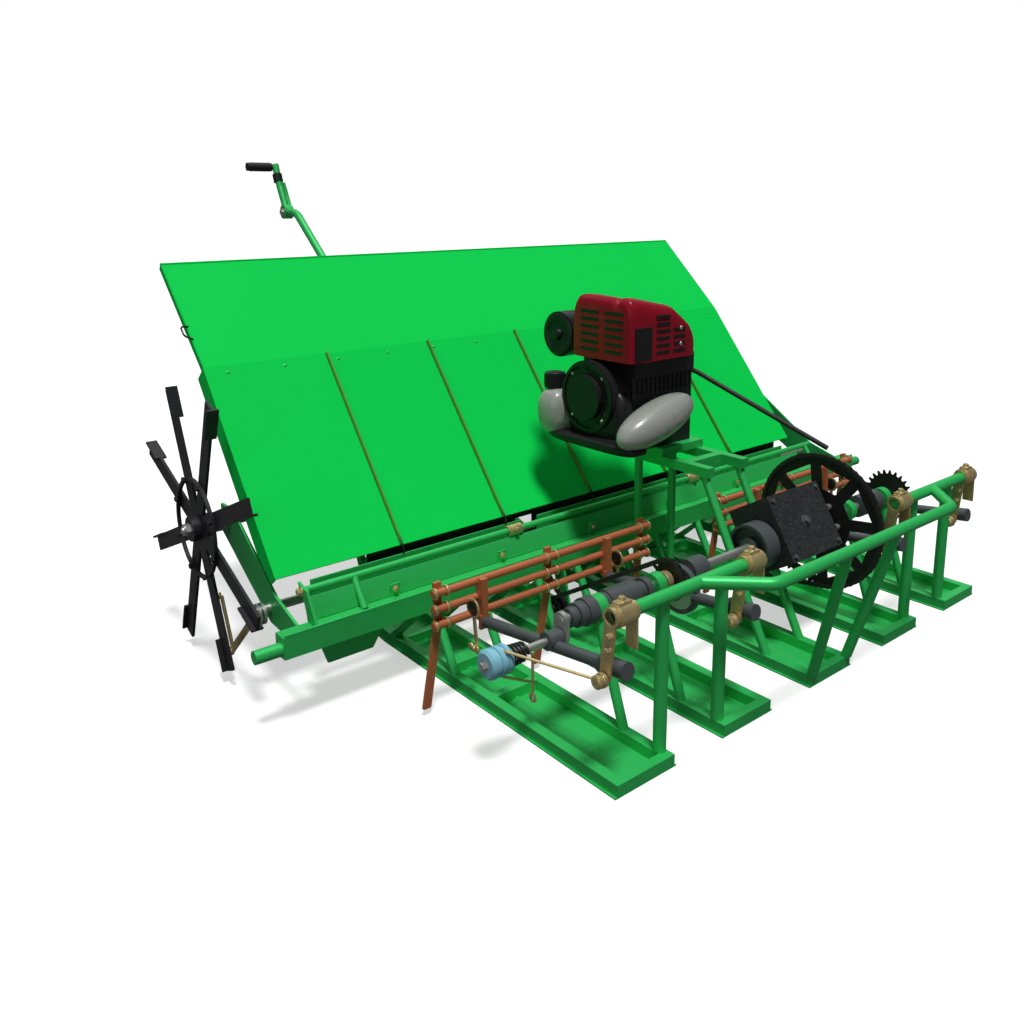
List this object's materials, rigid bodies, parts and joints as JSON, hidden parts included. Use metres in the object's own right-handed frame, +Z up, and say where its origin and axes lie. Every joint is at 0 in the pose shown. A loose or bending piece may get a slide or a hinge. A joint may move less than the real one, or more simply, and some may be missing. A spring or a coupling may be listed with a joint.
{
  "type": "walk-behind rice transplanter",
  "caption": "Walk-behind rice transplanter with a tilted seedling tray, flat skids, planting arms on a crankshaft, side paddle wheels, a small engine and a long handle.",
  "frame": {"origin": "on the ground, under the middle of the machine's outline", "axes": "+X across the rows to the right, +Y the way the machine travels and the handle points, +Z up"},
  "size_m": [1.666, 2.176, 0.938],
  "materials": {
    "black_plastic": "black moulding",
    "green_paint": "gloss green paint",
    "black_steel": "blackened steel",
    "copper_paint": "copper-red paint",
    "dark_steel": "satin dark grey paint",
    "bright_steel": "turned steel",
    "chain_steel": "oiled black steel",
    "black_rubber": "rubber sleeve",
    "cast_grey": "cast metal",
    "red_plastic": "dark red moulding",
    "tank_plastic": "milky plastic",
    "grey_paint": "satin charcoal paint",
    "black_paint": "satin black paint",
    "gold_plate": "yellow passivated zinc",
    "olive_paint": "olive-green paint"
  },
  "bodies": {
    "chassis": {"air_cleaner": "black_plastic", "bearing_braces": "green_paint", "clutch_housing": "black_plastic", "cross_beam": "green_paint", "drive_chain": "chain_steel", "drive_tube": "black_rubber", "engine_block": "cast_grey", "engine_plate": "green_paint", "engine_shroud": "red_plastic", "engine_stand": "green_paint", "fuel_cap": "black_plastic", "fuel_tank": "tank_plastic", "gate_tube": "green_paint", "gear_housing": "grey_paint", "handle_grip": "black_rubber", "handle_head": "green_paint", "handle_pole": "green_paint", "lay_bearings": "green_paint", "lay_chain": "chain_steel", "main_chain": "chain_steel", "pinion_pedestal": "green_paint", "rear_frame": "green_paint", "relay_bracket": "green_paint", "skid_1": "green_paint", "skid_2": "green_paint", "skid_3": "green_paint", "skid_4": "green_paint", "skid_5": "green_paint", "starter_cover": "black_plastic", "tray_rails": "green_paint", "wheel_axles": "bright_steel", "wheel_plates": "green_paint"},
    "crank": {"big_chain_wheel": "black_steel", "crank_drums": "dark_steel", "crankshaft": "bright_steel", "drive_chain_wheels": "black_steel"},
    "pinion": {"chain_pinion": "black_steel"},
    "left_planter": {"claw_rack_left": "copper_paint", "claws_left": "copper_paint", "planting_arms_left": "dark_steel"},
    "right_planter": {"claw_rack_right": "copper_paint", "claws_right": "copper_paint", "planting_arms_right": "dark_steel"},
    "lay": {"lay_chain_wheel": "black_steel", "lay_shaft": "bright_steel"},
    "left_wheel": {"paddle_wheel_left": "black_paint"},
    "relay": {"relay_wheels": "black_steel"},
    "rocker_1": {"rocker_1": "gold_plate"},
    "rocker_2": {"rocker_2": "gold_plate"},
    "rocker_3": {"rocker_3": "gold_plate"},
    "rocker_4": {"rocker_4": "gold_plate"},
    "tray": {"tray_dividers": "olive_paint", "tray_lower": "green_paint", "tray_upper": "green_paint"}
  },
  "joints": [
    {"name": "left_wheel_spin", "type": "hinge", "parent": "chassis", "child": "left_wheel", "pos_m": [-0.805, -0.283, 0.258], "axis": [1, 0, 0], "continuous": true},
    {"name": "tray_slide", "type": "slide", "parent": "chassis", "child": "tray", "axis": [1, 0, 0], "range_m": [-0.025, 0.145]},
    {"name": "crank_turn", "type": "hinge", "parent": "chassis", "child": "crank", "pos_m": [0, -0.862, 0.196], "axis": [1, 0, 0], "continuous": true},
    {"name": "left_planter_swing", "type": "hinge", "parent": "crank", "child": "left_planter", "pos_m": [-0.5, -0.862, 0.172], "axis": [1, 0, 0], "continuous": true},
    {"name": "right_planter_swing", "type": "hinge", "parent": "crank", "child": "right_planter", "pos_m": [0.47, -0.862, 0.172], "axis": [1, 0, 0], "continuous": true},
    {"name": "rocker_1_swing", "type": "hinge", "parent": "chassis", "child": "rocker_1", "pos_m": [-0.5, -1.003, 0.263], "axis": [1, 0, 0], "range_deg": [-13.5, 13.5]},
    {"name": "rocker_2_swing", "type": "hinge", "parent": "chassis", "child": "rocker_2", "pos_m": [-0.22, -1.003, 0.263], "axis": [1, 0, 0], "range_deg": [-13.5, 13.5]},
    {"name": "rocker_3_swing", "type": "hinge", "parent": "chassis", "child": "rocker_3", "pos_m": [0.22, -1.003, 0.263], "axis": [1, 0, 0], "range_deg": [-13.5, 13.5]},
    {"name": "rocker_4_swing", "type": "hinge", "parent": "chassis", "child": "rocker_4", "pos_m": [0.47, -1.003, 0.263], "axis": [1, 0, 0], "range_deg": [-13.5, 13.5]},
    {"name": "relay_turn", "type": "hinge", "parent": "chassis", "child": "relay", "pos_m": [-0.239, -0.578, 0.046], "axis": [1, 0, 0], "continuous": true},
    {"name": "lay_turn", "type": "hinge", "parent": "chassis", "child": "lay", "pos_m": [0, -0.443, 0.15], "axis": [1, 0, 0], "continuous": true},
    {"name": "pinion_turn", "type": "hinge", "parent": "chassis", "child": "pinion", "pos_m": [0.186, -0.728, 0.062], "axis": [1, 0, 0], "continuous": true}
  ],
  "couplings": [
    {"joint": "left_planter_swing", "follows": "crank_turn", "ratio": -1},
    {"joint": "right_planter_swing", "follows": "crank_turn", "ratio": -1},
    {"joint": "relay_turn", "follows": "crank_turn", "ratio": 2},
    {"joint": "lay_turn", "follows": "crank_turn", "ratio": 1.3333},
    {"joint": "pinion_turn", "follows": "crank_turn", "ratio": 8}
  ]
}
